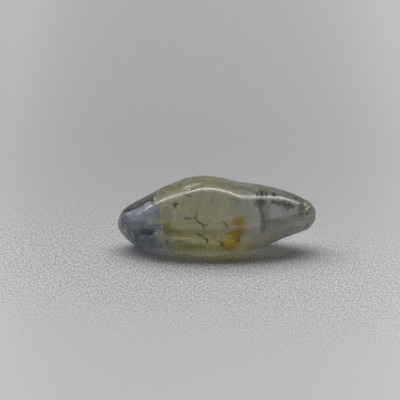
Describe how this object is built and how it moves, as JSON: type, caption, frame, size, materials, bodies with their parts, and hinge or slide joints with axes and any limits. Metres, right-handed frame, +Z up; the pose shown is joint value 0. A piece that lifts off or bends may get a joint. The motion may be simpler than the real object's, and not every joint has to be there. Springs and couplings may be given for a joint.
{
  "type": "sapphire crystal",
  "caption": "Water-worn double-pointed six-sided sapphire crystal, blue at one end, yellow-green and grey through the rest, lying on its flat under face.",
  "frame": {"origin": "centre of the bounding box, on the flat under face that the crystal lies on", "axes": "+X along the crystal from its blue end to its blunt clear end, +Z up, -Y towards the viewer"},
  "size_m": [0.015, 0.006, 0.0051],
  "materials": {
    "sapphire": "clear worn crystal, softly frosted, zoned blue to yellow-green"
  },
  "bodies": {
    "root": {"sapphire_crystal": "sapphire"}
  },
  "joints": []
}
